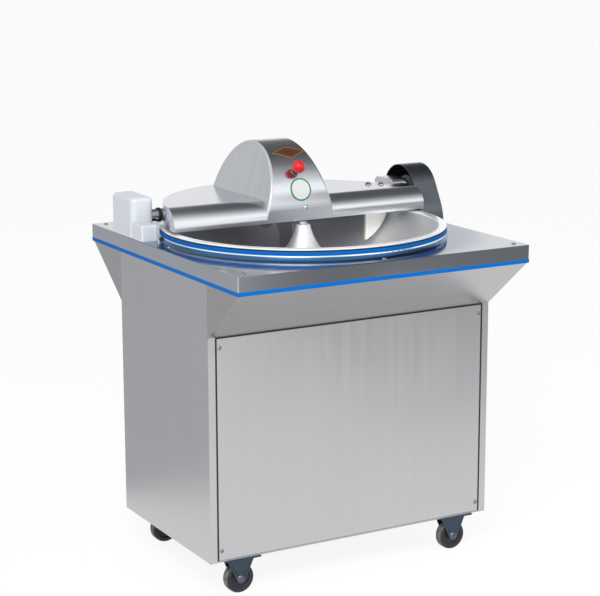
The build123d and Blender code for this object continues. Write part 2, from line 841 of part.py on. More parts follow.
# Bearing housing: a pillar on the table with a sleeve that reaches over the bowl's rim
with BuildPart(level(table_height)) as bearing_housing:
    with Locations(((block_start + block_end) / 2, knife_y)):
        Box(block_end - block_start, block_depth, block_rise, align=on_base)
    fillet(bearing_housing.edges().filter_by(Axis.X).group_by(Axis.Z)[-1], block_round)
    with BuildSketch(side(sleeve_start)):
        with Locations((knife_y, knife_z)):
            Circle(sleeve_radius)
    extrude(amount=block_start - sleeve_start)
    with BuildSketch(side(sleeve_start)):
        with Locations((knife_y, knife_z)):
            Circle(journal_radius + 2)
    extrude(amount=block_end - sleeve_start, mode=Mode.SUBTRACT)
    for seat_x in (sleeve_start, block_end - bearing_width):
        with BuildSketch(side(seat_x)):
            with Locations((knife_y, knife_z)):
                Circle(bearing_radius + running_fit)
        extrude(amount=bearing_width, mode=Mode.SUBTRACT)
save(bearing_housing, "bearing_housing")

# Ball bearings at both ends of the sleeve
with BuildPart() as knife_bearings:
    for seat_x in (sleeve_start, block_end - bearing_width):
        with BuildSketch(side(seat_x)):
            with Locations((knife_y, knife_z)):
                Circle(bearing_radius)
                Circle(journal_radius + running_fit, mode=Mode.SUBTRACT)
        extrude(amount=bearing_width)
save(knife_bearings, "knife_bearings")


def guard_outline(inset):
    """Outline of the belt guard, drawn in by a thickness."""
    for y, z, radius in ((knife_y, guard_z, guard_radius), (knife_y, guard_skirt_z, guard_skirt_radius),
                         (motor_y, motor_z, guard_low_radius)):
        with Locations((y, z)):
            Circle(radius - inset)
    make_hull()


# Belt guard: a bent steel cover on the right side, open towards the machine
with BuildPart() as belt_guard:
    with BuildSketch(side(guard_start)):
        guard_outline(0)
    extrude(amount=guard_width)
    with BuildSketch(side(guard_start)):
        guard_outline(guard_sheet)
    extrude(amount=guard_width - guard_sheet, mode=Mode.SUBTRACT)
    with BuildSketch(side(guard_start)):
        with Locations((knife_y, (table_height + apron_bottom) / 2)):
            Rectangle(4 * guard_skirt_radius, apron_height + 2 * bolt_fit)
    extrude(amount=half_width - guard_start, mode=Mode.SUBTRACT)
save(belt_guard, "belt_guard")


def hood_wings(inset):
    """Half disc with a rounded front edge and a tongue to the right, drawn in by a thickness."""
    front_y = hood_front + inset
    top_z = hood_top - inset
    low_z = hood_bottom - inset
    corner = wing_round - inset
    with BuildPart() as wings:
        with BuildSketch(side(-hood_radius)):
            with BuildLine():
                Line((front_y, low_z), (front_y, top_z - corner))
                RadiusArc((front_y, top_z - corner), (front_y + corner, top_z), corner)
                Polyline((front_y + corner, top_z), (hood_radius, top_z), (hood_radius, low_z), (front_y, low_z))
            make_face()
        extrude(amount=3 * hood_radius)
        with BuildSketch(level(low_z)):
            Circle(hood_radius - inset)
            with Locations((0, hood_front)):
                Rectangle(wing_reach + inset, tongue_depth - inset, align=(Align.MIN, Align.MIN))
        extrude(amount=top_z - low_z, mode=Mode.INTERSECT)
    return wings.part


def hood_arch(inset):
    """Half-round arch with leaning ends and rounded edges, drawn in by a thickness."""
    low_z = hood_bottom - inset
    radius = arch_radius - inset
    foot = arch_base - inset
    crown = arch_crown - inset
    with BuildPart() as arch:
        with BuildSketch(side(-arch_base)):
            with Locations((knife_y, arch_z)):
                Circle(radius)
                Rectangle(2 * radius, arch_z - low_z, align=(Align.CENTER, Align.MAX))
            with Locations((knife_y, low_z)):
                Rectangle(3 * radius, 2 * radius, align=(Align.CENTER, Align.MAX), mode=Mode.SUBTRACT)
        extrude(amount=2 * arch_base)
        with BuildSketch(front(hood_front - 1)):
            with BuildLine():
                Polyline((-foot, low_z), (foot, low_z), (crown, arch_z + arch_radius),
                         (-crown, arch_z + arch_radius), close=True)
            make_face()
        extrude(amount=-3 * arch_radius, mode=Mode.INTERSECT)
        fillet(arch.edges().filter_by(GeomType.ELLIPSE), arch_round - inset)
    return arch.part


# Places of the two bolts that hold the scraper's bracket under the right wing
bracket_front = scraper_y + scraper_sheet
bolt_places = [
    (bracket_start + bracket_width / 4, bracket_front + bracket_width * 0.75),
    (bracket_start + bracket_width * 0.82, bracket_front + bracket_width * 0.4),
]

# Hood: welded stainless sheet, open below and at the right end of its wing
knob_lean = radians(knob_angle)
knob_out = Vector(0, -cos(knob_lean), sin(knob_lean))
arch_middle = Vector(mid_x, knife_y, arch_z)
with BuildPart() as hood:
    add(hood_wings(0))
    add(hood_arch(0))
    add(hood_wings(hood_sheet), mode=Mode.SUBTRACT)
    add(hood_arch(hood_sheet), mode=Mode.SUBTRACT)
    with BuildSketch(level(hood_bottom)):
        with Locations((arch_base + 3 * hood_sheet, hood_front + wing_round)):
            Rectangle(hood_radius, open_end, align=(Align.MIN, Align.MIN))
    extrude(amount=hood_top - hood_sheet - hood_bottom, mode=Mode.SUBTRACT)
    with BuildSketch(side(-hood_radius)):
        with Locations((arm_y, hinge_z)):
            Circle(arm_radius + running_fit)
    extrude(amount=hood_radius / 2, mode=Mode.SUBTRACT)
    with BuildSketch(Plane(origin=arch_middle, z_dir=knob_out)):
        Circle(knob_stem + running_fit)
    extrude(amount=2 * arch_radius, mode=Mode.SUBTRACT)
    with BuildSketch(level(hood_top)):
        with Locations(*bolt_places):
            Circle(bolt_radius + bolt_fit)
    extrude(amount=-2 * hood_sheet, mode=Mode.SUBTRACT)
save(hood, "hood")

# Red ball knob on a stem through the arch
with BuildPart(Plane(origin=arch_middle, z_dir=knob_out)) as knob:
    with Locations((0, 0, arch_radius - 4 * hood_sheet)):
        Cylinder(knob_stem, knob_reach + 4 * hood_sheet, align=on_base)
    with Locations((0, 0, arch_radius + knob_reach)):
        Sphere(knob_radius)
save(knob, "knob")

# Hood arm: a round bar from the hood's left wall to the hinge barrel
arm_end = -(hood_radius**2 - (arm_y + arm_radius) ** 2) ** 0.5 + 2 * arm_radius
with BuildPart() as hood_arm:
    with BuildSketch(side(hinge_x)):
        with Locations((arm_y, hinge_z)):
            Circle(arm_radius)
    extrude(amount=arm_end - hinge_x)
    with BuildSketch(front(arm_y - barrel_length / 2)):
        with Locations((hinge_x, hinge_z)):
            Circle(barrel_radius)
    extrude(amount=-barrel_length)
    with BuildSketch(front(arm_y - barrel_length / 2)):
        with Locations((hinge_x, hinge_z)):
            Circle(pin_radius + running_fit)
    extrude(amount=-barrel_length, mode=Mode.SUBTRACT)
save(hood_arm, "hood_arm")

# Hinge bracket: a foot on the table with two lugs
lug_places = (arm_y - barrel_length / 2 - seam, arm_y + barrel_length / 2 + seam + lug_sheet)
cover_left = -half_width
cover_right = cover_left + cover_width
with BuildPart(level(table_height)) as hinge_bracket:
    with Locations((hinge_x - 5, (cover_front + cover_back) / 2)):
        Box(2 * barrel_radius + 8, cover_back - cover_front - cover_round, bracket_base, align=on_base)
    for lug_y in lug_places:
        with BuildSketch(front(lug_y)):
            with Locations((hinge_x, hinge_z)):
                Circle(lug_radius)
            with Locations((hinge_x, table_height + bracket_base)):
                Rectangle(2 * lug_radius, bracket_base / 2, align=(Align.CENTER, Align.MIN))
            make_hull()
            with Locations((hinge_x, hinge_z)):
                Circle(pin_radius + running_fit, mode=Mode.SUBTRACT)
        extrude(amount=lug_sheet)
save(hinge_bracket, "hinge_bracket")

# Hinge pin, turning with the hood, with the cam that works the safety switch
pin_front = lug_places[0] - lug_sheet + 1
pin_back = lug_places[1]
with BuildPart() as hinge_pin:
    with BuildSketch(front(pin_front)):
        with Locations((hinge_x, hinge_z)):
            Circle(pin_radius)
    extrude(amount=pin_front - pin_back - seam - cam_width)
    with BuildSketch(front(pin_back + seam)):
        with Locations((hinge_x, hinge_z)):
            Circle(cam_radius)
            Rectangle(2 * cam_radius, cam_radius / 2, align=(Align.CENTER, Align.MIN), mode=Mode.SUBTRACT)
            Circle(pin_radius)
    extrude(amount=-cam_width)
save(hinge_pin, "hinge_pin")

# Safety switch under the cam
with BuildPart(level(table_height + bracket_base)) as limit_switch:
    with Locations((hinge_x, pin_back + seam)):
        Box(2 * lug_radius, switch_length, switch_height, align=(Align.CENTER, Align.MIN, Align.MIN))
    fillet(limit_switch.edges().filter_by(Axis.Z), 3)
    with Locations((hinge_x, pin_back + seam + cam_width / 2, switch_height)):
        plunger = hinge_z - cam_radius - bolt_fit - table_height - bracket_base - switch_height
        Cylinder(plunger_radius, plunger, align=on_base)
save(limit_switch, "limit_switch")

# White plastic cover over the hinge, with a slot for the arm on its right
with BuildPart(level(table_height)) as hinge_cover:
    cover_middle = (cover_left + cover_width / 2, (cover_front + cover_back) / 2)
    with Locations(cover_middle):
        Box(cover_width, cover_back - cover_front, cover_height, align=on_base)
    fillet(hinge_cover.edges().filter_by(Axis.Z), cover_round)
    fillet(hinge_cover.faces().sort_by(Axis.Z)[-1].edges(), cover_crown)
    offset(amount=-cover_wall, openings=hinge_cover.faces().sort_by(Axis.Z)[0])
    with BuildSketch(side(cover_right + 1)):
        with Locations((arm_y, hinge_z - arm_radius - hole_fit)):
            Rectangle(2 * (arm_radius + hole_fit), table_height + cover_height - cover_wall - hinge_z + arm_radius,
                      align=(Align.CENTER, Align.MIN))
    extrude(amount=-cover_wall - 2, mode=Mode.SUBTRACT)
save(hinge_cover, "hinge_cover")

# Lower white cover in front of it, over the switch's cable
with BuildPart(level(table_height)) as cable_cover:
    step_middle = (cover_left + step_width / 2, (step_front + cover_front) / 2)
    with Locations(step_middle):
        Box(step_width, cover_front - step_front, step_height, align=on_base)
    fillet(cable_cover.edges().filter_by(Axis.Z).group_by(Axis.Y)[0], step_round)
    fillet(cable_cover.faces().sort_by(Axis.Z)[-1].edges().group_by(Axis.Y)[0], step_round)
    offset(amount=-cover_wall, openings=cable_cover.faces().sort_by(Axis.Z)[0])
save(cable_cover, "cable_cover")

# Scraper: a nylon plate whose outer edge follows the bowl's wall
scraper_top = hood_bottom - 3
scraper_low = scraper_top - scraper_depth
wall_z = trough_bottom + wall_radius


def wall_x(z):
    """Where the scraper's curved edge runs at a height, a gap inside the bowl's wall."""
    reach = trough_circle + (wall_radius**2 - (wall_z - z) ** 2) ** 0.5
    return (reach**2 - (scraper_y + scraper_sheet) ** 2) ** 0.5 - scraper_gap


with BuildPart() as scraper:
    with BuildSketch(front(scraper_y)):
        with BuildLine():
            corner_top = (wall_x(min(scraper_top, lip_z)), scraper_top)
            corner_low = (scraper_inner, scraper_low)
            halfway = (scraper_top + scraper_low) / 2
            Polyline(corner_low, (scraper_inner, scraper_top), corner_top)
            ThreePointArc(corner_top, (wall_x(halfway), halfway), corner_low)
        make_face()
    extrude(amount=-scraper_sheet)
save(scraper, "scraper")

# Bracket of the scraper, under the right wing and down the back of the plate
bracket_top = hood_top - hood_sheet
with BuildPart(level(bracket_top)) as scraper_bracket:
    with Locations((bracket_start, bracket_front)):
        Box(bracket_width, bracket_width, bracket_sheet, align=(Align.MIN, Align.MIN, Align.MAX))
        Box(bracket_width / 2, bracket_sheet, bracket_top - scraper_top + scraper_depth / 3,
            align=(Align.MIN, Align.MIN, Align.MAX))
    with Locations(*bolt_places):
        Cylinder(bolt_radius + bolt_fit, 4 * bracket_sheet, mode=Mode.SUBTRACT)
save(scraper_bracket, "scraper_bracket")

# Hexagon bolts of the bracket, with their nuts
with BuildPart() as scraper_bolts:
    for hex_z, hex_height in ((hood_top, bolt_head_height), (bracket_top - bracket_sheet, -bolt_head_height)):
        with BuildSketch(level(hex_z)):
            with Locations(*bolt_places):
                RegularPolygon(bolt_head, 6)
        extrude(amount=hex_height)
    with BuildSketch(level(hood_top)):
        with Locations(*bolt_places):
            Circle(bolt_radius)
    extrude(amount=-hood_sheet - bracket_sheet - bolt_tail)
save(scraper_bolts, "scraper_bolts")
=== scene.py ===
from math import acos, asin, cos, degrees, pi, radians, sin

import bmesh
import bpy
from mathutils import Matrix, Vector


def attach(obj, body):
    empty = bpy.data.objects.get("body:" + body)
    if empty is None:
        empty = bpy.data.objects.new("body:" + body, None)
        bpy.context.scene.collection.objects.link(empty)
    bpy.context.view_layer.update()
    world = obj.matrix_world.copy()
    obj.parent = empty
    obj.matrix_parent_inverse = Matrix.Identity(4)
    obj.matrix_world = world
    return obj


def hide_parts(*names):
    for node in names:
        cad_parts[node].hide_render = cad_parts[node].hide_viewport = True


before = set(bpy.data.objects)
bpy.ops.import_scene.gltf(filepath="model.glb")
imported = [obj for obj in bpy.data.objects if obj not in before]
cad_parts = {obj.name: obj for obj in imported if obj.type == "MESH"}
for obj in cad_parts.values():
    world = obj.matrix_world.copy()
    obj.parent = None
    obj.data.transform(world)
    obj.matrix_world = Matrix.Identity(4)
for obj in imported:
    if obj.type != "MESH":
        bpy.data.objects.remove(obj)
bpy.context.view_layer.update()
scene = bpy.context.scene
scene.view_settings.view_transform = "Standard"


# Studio: the machine stands on a pale seamless floor in a white room, under two softbox lamps.
# The room shows white to the camera and in the steel, and lights plainly.
def node(tree, kind, inputs=None, **options):
    """Adds a shader node: an input is a constant or another node's socket."""
    made = tree.nodes.new(kind)
    for key, value in options.items():
        setattr(made, key, value)
    for key, value in (inputs or {}).items():
        if isinstance(value, bpy.types.NodeSocket):
            tree.links.new(value, made.inputs[key])
        else:
            made.inputs[key].default_value = value
    return made


def calc(tree, operation, first, second):
    """Adds a Math node and returns what it puts out."""
    return node(tree, "ShaderNodeMath", {0: first, 1: second}, operation=operation).outputs[0]


def seen_rays(tree):
    """Mask of camera, mirror and see-through rays."""
    rays = node(tree, "ShaderNodeLightPath").outputs
    plain = calc(tree, "MAXIMUM", rays["Is Camera Ray"], rays["Is Glossy Ray"])
    return calc(tree, "MAXIMUM", plain, rays["Is Transmission Ray"])


white = (1, 1, 1, 1)
room_light = 0.62
scene.world = bpy.data.worlds.new("white_room")
scene.world.use_nodes = True
room = scene.world.node_tree
room.nodes.clear()
room_level = node(room, "ShaderNodeMapRange", {"Value": seen_rays(room), "To Min": room_light, "To Max": 1.0})
room_sky = node(room, "ShaderNodeBackground", {"Color": white, "Strength": room_level.outputs[0]})
node(room, "ShaderNodeOutputWorld", {"Surface": room_sky.outputs[0]})
crease = radians(34)


def bare_material(name):
    """New material with an empty node tree, and that tree."""
    material = bpy.data.materials.new(name)
    material.use_nodes = True
    material.node_tree.nodes.clear()
    return material, material.node_tree


def finished(name, shape):
    """Turns a finished bmesh into a mesh."""
    mesh = bpy.data.meshes.new(name)
    shape.to_mesh(mesh)
    shape.free()
    return mesh


def mesh_piece(name, shape, *materials):
    """Turns a finished bmesh into a smooth object at the origin, with creases kept sharp."""
    mesh = finished(name, shape)
    mesh.shade_smooth()
    mesh.set_sharp_from_angle(angle=crease)
    for material in materials:
        mesh.materials.append(material)
    piece = bpy.data.objects.new(name, mesh)
    scene.collection.objects.link(piece)
    return piece


floor_half = 40.0
floor_tone = (0.9, 0.9, 0.9, 1)
floor_glow_share = 0.9
floor_paint, floor_tree = bare_material("floor_paint")
floor_matt = node(floor_tree, "ShaderNodeBsdfDiffuse", {"Color": floor_tone}).outputs[0]
floor_glow = node(floor_tree, "ShaderNodeEmission", {"Color": white, "Strength": 1.0}).outputs[0]
floor_share = calc(floor_tree, "MULTIPLY", seen_rays(floor_tree), floor_glow_share)
floor_mix = node(floor_tree, "ShaderNodeMixShader", {0: floor_share, 1: floor_matt, 2: floor_glow})
node(floor_tree, "ShaderNodeOutputMaterial", {"Surface": floor_mix.outputs[0]})
shape = bmesh.new()
bmesh.ops.create_grid(shape, x_segments=1, y_segments=1, size=floor_half)
floor = mesh_piece("floor", shape, floor_paint)


def softbox(name, place, target, size, watts):
    """Square studio lamp at a place, turned towards a point."""
    lamp = bpy.data.lights.new(name, "AREA")
    lamp.size = size
    lamp.energy = watts
    holder = bpy.data.objects.new(name, lamp)
    holder.location = place
    holder.rotation_euler = (Vector(target) - Vector(place)).to_track_quat("-Z", "Y").to_euler()
    scene.collection.objects.link(holder)


lamp_target = (0, 0, 0.6)
softbox("key_lamp", (-1.9, -2.3, 2.6), lamp_target, size=1.6, watts=120)
softbox("fill_lamp", (2.4, -1.8, 2.0), lamp_target, size=1.8, watts=40)


# Tent round the machine, seen only in the steel: white cloth with a bright window at the front right.
# Dark panels hang on it at the roof, the right, the back and along the floor, and two grey cards stand inside it,
# as studios set them up beside polished metal.
def unseen(piece):
    """Lets a studio piece show in reflections only."""
    piece.visible_camera = False
    piece.visible_diffuse = False
    piece.visible_shadow = False
    piece.visible_transmission = False


def ramp(tree, value, none, full):
    """Smooth step of a value: 0 at none and 1 at full."""
    limits = {"Value": value, "From Min": none, "From Max": full}
    return node(tree, "ShaderNodeMapRange", limits, interpolation_type="SMOOTHSTEP").outputs[0]


tent_middle = Vector((0, 0, 0.7))
tent_radius = 2.5
tent_hem = -0.02
tent_cloth, cloth = bare_material("tent_cloth")
cloth_spot = node(cloth, "ShaderNodeTexCoord").outputs["Object"]
cloth_height = node(cloth, "ShaderNodeSeparateXYZ", {0: cloth_spot}).outputs[2]
cloth_spoke = node(cloth, "ShaderNodeVectorMath", {0: cloth_spot, 1: tent_middle}, operation="SUBTRACT").outputs[0]
cloth_aim = node(cloth, "ShaderNodeVectorMath", {0: cloth_spoke}, operation="NORMALIZE").outputs[0]


def towards(direction, none, full):
    """Mask of the cloth round one direction from the tent's middle."""
    sides = {0: cloth_aim, 1: Vector(direction).normalized()}
    level = node(cloth, "ShaderNodeVectorMath", sides, operation="DOT_PRODUCT").outputs["Value"]
    return ramp(cloth, level, none, full)


def fade(mask, none, full):
    """Fades a mask out between two heights."""
    return calc(cloth, "MULTIPLY", mask, ramp(cloth, cloth_height, none, full))


def darken(level, mask, share):
    """Takes a share of the light away where the mask is."""
    left = calc(cloth, "SUBTRACT", 1.0, calc(cloth, "MULTIPLY", mask, share))
    return calc(cloth, "MULTIPLY", level, left)


window_gain, roof_share, back_share, panel_share = 0.32, 0.88, 0.3, 0.8
window = towards((0.44, -0.86, 0.2), none=0.84, full=0.97)
roof = fade(towards((0.6535, 0.2912, 0.699), none=0.42, full=0.98), none=1.4, full=1.7)
right_screen = fade(towards((0.7, -0.66, 0.2), none=0.93, full=0.97), none=1.6, full=1.35)
back_shade = towards((-0.5, 0.86, 0.05), none=0.72, full=0.95)
low_strip = fade(towards((0.64, -0.76, -0.1), none=0.82, full=0.95), none=0.72, full=0.4)
cloth_level = calc(cloth, "ADD", calc(cloth, "MULTIPLY", window, window_gain), 1.0)
cloth_level = darken(cloth_level, roof, roof_share)
cloth_level = darken(cloth_level, back_shade, back_share)
cloth_level = darken(cloth_level, calc(cloth, "MAXIMUM", low_strip, right_screen), panel_share)
cloth_glow = node(cloth, "ShaderNodeEmission", {"Color": white, "Strength": cloth_level})
node(cloth, "ShaderNodeOutputMaterial", {"Surface": cloth_glow.outputs[0]})
shape = bmesh.new()
bmesh.ops.create_uvsphere(shape, u_segments=48, v_segments=24, radius=tent_radius)
bmesh.ops.translate(shape, verts=shape.verts, vec=tent_middle)
bmesh.ops.bisect_plane(shape, geom=shape.verts[:] + shape.edges[:] + shape.faces[:], plane_co=(0, 0, tent_hem),
                       plane_no=(0, 0, 1), clear_inner=True)
unseen(mesh_piece("tent", shape, tent_cloth))
card_blue = 1.03


def flag(name, place, target, width, tall, grey):
    """Grey card that only shows in reflections."""
    paint, paint_tree = bare_material(name)
    glow = node(paint_tree, "ShaderNodeEmission", {"Color": (grey, grey, grey * card_blue, 1), "Strength": 1.0})
    node(paint_tree, "ShaderNodeOutputMaterial", {"Surface": glow.outputs[0]})
    card = bmesh.new()
    bmesh.ops.create_grid(card, x_segments=1, y_segments=1, size=0.5)
    turn = (Vector(target) - Vector(place)).to_track_quat("Z", "Y").to_matrix().to_4x4()
    bmesh.ops.transform(card, matrix=Matrix.Diagonal((width, tall, 1, 1)), verts=card.verts)
    bmesh.ops.transform(card, matrix=Matrix.Translation(place) @ turn, verts=card.verts)
    unseen(mesh_piece(name, card, paint))


flag("left_flag", (-0.66, 0.48, 0.3), (-0.36, -0.05, 0.36), width=1.1, tall=0.8, grey=0.57)
flag("front_flag", (1.0, -1.3, 0.2), (0.25, -0.2, 0.3), width=0.8, tall=0.4, grey=0.52)

# Camera: a long lens at standing height, to the left of the front, as in the photograph.
# Its place and turn were solved from the straight edges of the cabinet and the table.
turn, tilt, roll = radians(-29.49729), radians(12.1625), radians(-0.15129)
lens_pixels, frame_pixels = 1793.22, 600
camera_place = (-1.9525, -3.3861, 1.4115)
sight = Vector((sin(turn) * cos(tilt), -cos(turn) * cos(tilt), sin(tilt)))
level_right = Vector((cos(turn), sin(turn), 0))
level_up = sight.cross(level_right)
across = cos(roll) * level_right + sin(roll) * level_up
upright = cos(roll) * level_up - sin(roll) * level_right
lens = bpy.data.cameras.new("camera")
lens.sensor_width = 36
lens.lens = lens_pixels / frame_pixels * lens.sensor_width
lens.clip_end = 50
camera = bpy.data.objects.new("camera", lens)
stand = Matrix((across, upright, sight)).transposed().to_4x4()
stand.translation = camera_place
camera.matrix_world = stand
scene.collection.objects.link(camera)
scene.camera = camera


# Cabinet frame: square steel tube, floor plate, gearbox rails and motor bench.
# Welded and sprayed with grey primer, all inside the cabinet.
def shader_group(name, takes, gives):
    """New node group: takes and gives name its sockets. Returns the group and its two ends."""
    group = bpy.data.node_groups.new(name, "ShaderNodeTree")
    for way, sockets in (("INPUT", takes), ("OUTPUT", gives)):
        for label, kind in sockets.items():
            group.interface.new_socket(name=label, in_out=way, socket_type="NodeSocket" + kind)
    return group, group.nodes.new("NodeGroupInput").outputs, group.nodes.new("NodeGroupOutput").inputs


def noise(tree, place, scale, detail):
    """Adds a noise texture and returns its level."""
    return node(tree, "ShaderNodeTexNoise", {"Vector": place, "Scale": scale, "Detail": detail}).outputs[0]


# Skin of moulded or sprayed surfaces: slow cloudy tone and a fine orange peel.
noise_mean = 0.5
cloud_dulling = 0.16
peel_depth = 0.0005
skin_group, skin_in, skin_out = shader_group(
    "sprayed_skin",
    {"Surface": "Vector", "Colour": "Color", "Mottle": "Float", "Roughness": "Float", "Grain": "Float"},
    {"Colour": "Color", "Roughness": "Float", "Height": "Float"})
cloud = noise(skin_group, skin_in["Surface"], 9.0, 4.0)
peel = noise(skin_group, skin_in["Surface"], skin_in["Grain"], 3.0)
cloud_off = calc(skin_group, "SUBTRACT", cloud, noise_mean)
skin_tone = calc(skin_group, "ADD", calc(skin_group, "MULTIPLY", cloud_off, skin_in["Mottle"]), 1.0)
skin_tint = node(skin_group, "ShaderNodeVectorMath", {0: skin_in["Colour"], "Scale": skin_tone}, operation="SCALE")
skin_rough = calc(skin_group, "ADD", calc(skin_group, "MULTIPLY", cloud_off, cloud_dulling), skin_in["Roughness"])
skin_group.links.new(skin_tint.outputs[0], skin_out["Colour"])
skin_group.links.new(skin_rough, skin_out["Roughness"])
skin_group.links.new(peel, skin_out["Height"])


def fresh_material(name, **constants):
    """New material and its tree: constants are set on the shader's own sockets."""
    material = bpy.data.materials.new(name)
    material.use_nodes = True
    shader = material.node_tree.nodes["Principled BSDF"]
    for label, value in constants.items():
        shader.inputs[label.replace("_", " ")].default_value = value
    return material, material.node_tree


def coat(tree, colour, roughness, height, bump, depth):
    """Joins a finish to its shader: colour, roughness and a fine relief."""
    relief = node(tree, "ShaderNodeBump", {"Height": height, "Strength": bump, "Distance": depth}).outputs[0]
    shader = tree.nodes["Principled BSDF"]
    for label, socket in (("Base Color", colour), ("Roughness", roughness), ("Normal", relief)):
        tree.links.new(socket, shader.inputs[label])


def skin(name, colour, roughness, mottle=0.12, grain=900.0, bump=0.04, **constants):
    """Sprayed or moulded finish."""
    material, tree = fresh_material(name, **constants)
    values = {"Surface": node(tree, "ShaderNodeTexCoord").outputs["Object"], "Colour": (*colour, 1),
              "Mottle": mottle, "Roughness": roughness, "Grain": grain}
    look = node(tree, "ShaderNodeGroup", values, node_tree=skin_group).outputs
    coat(tree, look["Colour"], look["Roughness"], look["Height"], bump, peel_depth)
    return material


def dress(material, *names):
    """Gives CAD nodes their finish."""
    for name in names:
        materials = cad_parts[name].data.materials
        materials.clear()
        materials.append(material)


primer = skin("grey_primer", (0.27, 0.28, 0.29), 0.5)
dress(primer, "cabinet_frame", "gearbox_rails", "base_plate", "motor_bench", "hinge_bracket")

# Cabinet panels: folded stainless sheet with a fine upright satin grain.
# The side panels carry the corners, and the front and back sheets are screwed on between them.
smear_share = 0.5
grain_depth = 0.0003
grain_group, grain_in, grain_out = shader_group(
    "steel_grain",
    {"Streaks": "Vector", "Surface": "Vector", "Colour": "Color", "Contrast": "Float", "Roughness": "Float",
     "Spread": "Float"},
    {"Colour": "Color", "Roughness": "Float", "Height": "Float"})
fine = noise(grain_group, grain_in["Streaks"], 1.0, 4.0)
broad = noise(grain_group, grain_in["Streaks"], 0.16, 2.0)
smear = noise(grain_group, grain_in["Surface"], 5.0, 3.0)
grain_mean = calc(grain_group, "MULTIPLY", calc(grain_group, "ADD", fine, broad), 0.5)
grain_off = calc(grain_group, "SUBTRACT", grain_mean, noise_mean)
smear_off = calc(grain_group, "SUBTRACT", smear, noise_mean)
grain_sum = calc(grain_group, "ADD", grain_off, calc(grain_group, "MULTIPLY", smear_off, smear_share))
grain_tone = calc(grain_group, "ADD", calc(grain_group, "MULTIPLY", grain_sum, grain_in["Contrast"]), 1.0)
grain_tint = node(grain_group, "ShaderNodeVectorMath", {0: grain_in["Colour"], "Scale": grain_tone},
                  operation="SCALE")
grain_rough = calc(grain_group, "ADD", calc(grain_group, "MULTIPLY", grain_sum, grain_in["Spread"]),
                   grain_in["Roughness"])
grain_group.links.new(grain_tint.outputs[0], grain_out["Colour"])
grain_group.links.new(grain_rough, grain_out["Roughness"])
grain_group.links.new(grain_off, grain_out["Height"])


def axis_distance(tree, across, along):
    """Distance from an upright axis, from its two level parts."""
    flat = node(tree, "ShaderNodeCombineXYZ", {0: across, 1: along}).outputs[0]
    return node(tree, "ShaderNodeVectorMath", {0: flat}, operation="LENGTH").outputs["Value"]


def steel(name, colour, roughness, streak, contrast=0.25, spread=0.2, bump=0.05, centre=None, metallic=1.0):
    """Metal with a grain: streak scales each axis, and centre makes the grain run in rings round an upright axis."""
    material, tree = fresh_material(name, Metallic=metallic)
    place = node(tree, "ShaderNodeTexCoord").outputs["Object"]
    run = place
    if centre is not None:
        spoke = node(tree, "ShaderNodeVectorMath", {0: place, 1: centre}, operation="SUBTRACT").outputs[0]
        part = node(tree, "ShaderNodeSeparateXYZ", {0: spoke}).outputs
        run = node(tree, "ShaderNodeCombineXYZ", {0: axis_distance(tree, part[0], part[1]), 2: part[2]}).outputs[0]
    values = {"Streaks": node(tree, "ShaderNodeMapping", {"Vector": run, "Scale": streak}).outputs[0],
              "Surface": place, "Colour": (*colour, 1), "Contrast": contrast, "Roughness": roughness,
              "Spread": spread}
    look = node(tree, "ShaderNodeGroup", values, node_tree=grain_group).outputs
    coat(tree, look["Colour"], look["Roughness"], look["Height"], bump, grain_depth)
    return material


upright_grain = (700.0, 700.0, 5.0)
panel_satin = steel("panel_satin", (0.55, 0.55, 0.565), 0.34, upright_grain, contrast=0.12, spread=0.15)
dress(panel_satin, "side_panel_left", "side_panel_right", "front_panel", "rear_panel")

# Panel seals: black rubber beads in the gaps round the front and back sheets.
# Each is an extruded strip pressed against the frame tube behind the gap, with a thin flap over the sheets' edges.
black_plastic = skin("black_plastic", (0.012, 0.012, 0.013), 0.5, mottle=0.3, Specular_IOR_Level=0.3)
middle_x = -0.0285
front_tube, back_tube = -0.2165, 0.2075
seal_gap, seal_play, seal_depth = 0.0025, 0.0002, 0.0015
flap_reach, flap_rise = 0.0007, 0.0004
seal_round = 0.00015
seal_side, seal_low, seal_top = 0.3275, 0.087, 0.563
seal_middle, seal_tall = (seal_low + seal_top) / 2, seal_top - seal_low
seal_runs = [(-seal_side - seal_gap / 2, seal_middle, seal_gap, seal_tall),
             (seal_side + seal_gap / 2, seal_middle, seal_gap, seal_tall),
             (0, seal_top + seal_gap / 2, 2 * seal_side, seal_gap)]
shape = bmesh.new()
for tube_face, out in ((front_tube, -1), (back_tube, 1)):
    for run_x, run_z, run_width, run_tall in seal_runs:
        for extra, thick, start in ((-seal_play, seal_depth, 0), (flap_reach, flap_rise, seal_depth)):
            bar = bmesh.ops.create_cube(shape, size=1)["verts"]
            bmesh.ops.scale(shape, vec=(run_width + 2 * extra, thick, run_tall + 2 * extra), verts=bar)
            bar_y = tube_face + out * (start + thick / 2)
            bmesh.ops.translate(shape, vec=(middle_x + run_x, bar_y, run_z), verts=bar)
bmesh.ops.bevel(shape, geom=shape.edges[:], offset=seal_round, segments=2, profile=0.5, affect="EDGES", material=-1)
seals = mesh_piece("panel_seals", shape, black_plastic)
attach(seals, "cabinet")

# Flared skirts: bent sheet from the table's edge back to the cabinet, polished a little brighter.
# Their cheeks are folded in and stand flush with the side panels.
level_grain = (5.0, 700.0, 5.0)
flare_satin = steel("flare_satin", (0.46, 0.46, 0.47), 0.28, level_grain, contrast=0.14, spread=0.15)
dress(flare_satin, "front_flare", "rear_flare")


